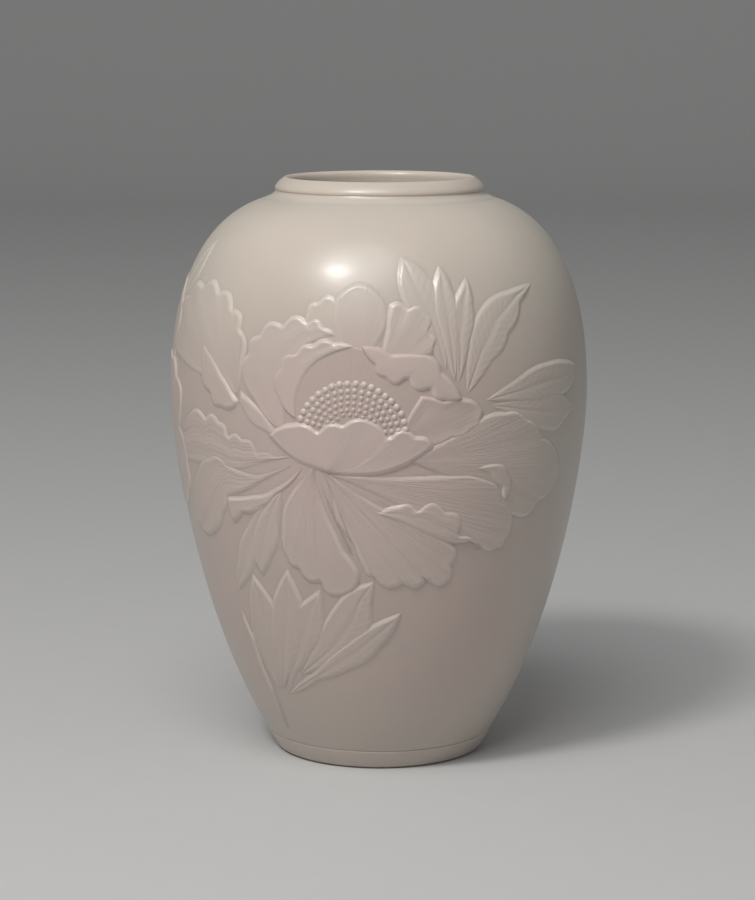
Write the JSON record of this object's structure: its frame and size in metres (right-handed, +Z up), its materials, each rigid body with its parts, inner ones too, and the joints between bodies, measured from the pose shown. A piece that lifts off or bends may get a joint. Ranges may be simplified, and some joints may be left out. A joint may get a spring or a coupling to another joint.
{
  "type": "vase",
  "caption": "Porcelain meiping vase with broad shoulder, tapering lower body, ring foot and rolled lip; low-relief peony spray with leaves wraps the front and left side",
  "frame": {"origin": "centre of the foot's contact ring, on the surface that the vase stands on", "axes": "+Z up along the axis the vase was turned on, -Y out through the front with the peony bloom, +X to the right seen from the front"},
  "size_m": [0.1818, 0.1825, 0.25],
  "materials": {
    "wall_glaze": "glossy pale ivory glaze",
    "petal_glaze": "glossy pale pinkish ivory glaze",
    "leaf_glaze": "glossy pale celadon glaze",
    "foot_glaze": "glossy glaze wiped off the contact ring"
  },
  "bodies": {
    "root": {"back_centre_petal": "petal_glaze", "back_left_petal": "petal_glaze", "back_right_petal": "petal_glaze", "bottom_left_petal": "petal_glaze", "bottom_right_petal": "petal_glaze", "cup_petal": "petal_glaze", "curled_petal": "petal_glaze", "far_leaf_lower": "leaf_glaze", "far_leaf_upper": "leaf_glaze", "foot_ring": "foot_glaze", "guard_left_fold": "petal_glaze", "guard_left_high": "petal_glaze", "guard_left_low": "petal_glaze", "guard_right_fold": "petal_glaze", "guard_right_high": "petal_glaze", "guard_right_low": "petal_glaze", "heart_petal": "petal_glaze", "left_inner_petal": "petal_glaze", "left_middle_petal": "petal_glaze", "left_outer_petal": "petal_glaze", "low_leaf_centre": "leaf_glaze", "low_leaf_left": "leaf_glaze", "low_leaf_right": "leaf_glaze", "lower_body": "wall_glaze", "main_stem": "leaf_glaze", "mouth_ring": "wall_glaze", "ribbon_petal": "petal_glaze", "right_cup_petal": "petal_glaze", "right_leaf_high": "leaf_glaze", "right_leaf_low": "leaf_glaze", "side_leaf": "leaf_glaze", "side_petal_back": "petal_glaze", "side_petal_cup": "petal_glaze", "side_petal_low": "petal_glaze", "side_petal_lower": "petal_glaze", "side_petal_upper": "petal_glaze", "small_leaf_left": "leaf_glaze", "small_leaf_right": "leaf_glaze", "stamen_bed": "petal_glaze", "top_leaf_centre": "leaf_glaze", "top_leaf_left": "leaf_glaze", "top_leaf_right": "leaf_glaze", "upper_body": "wall_glaze", "upper_right_leaf": "leaf_glaze"}
  },
  "joints": []
}
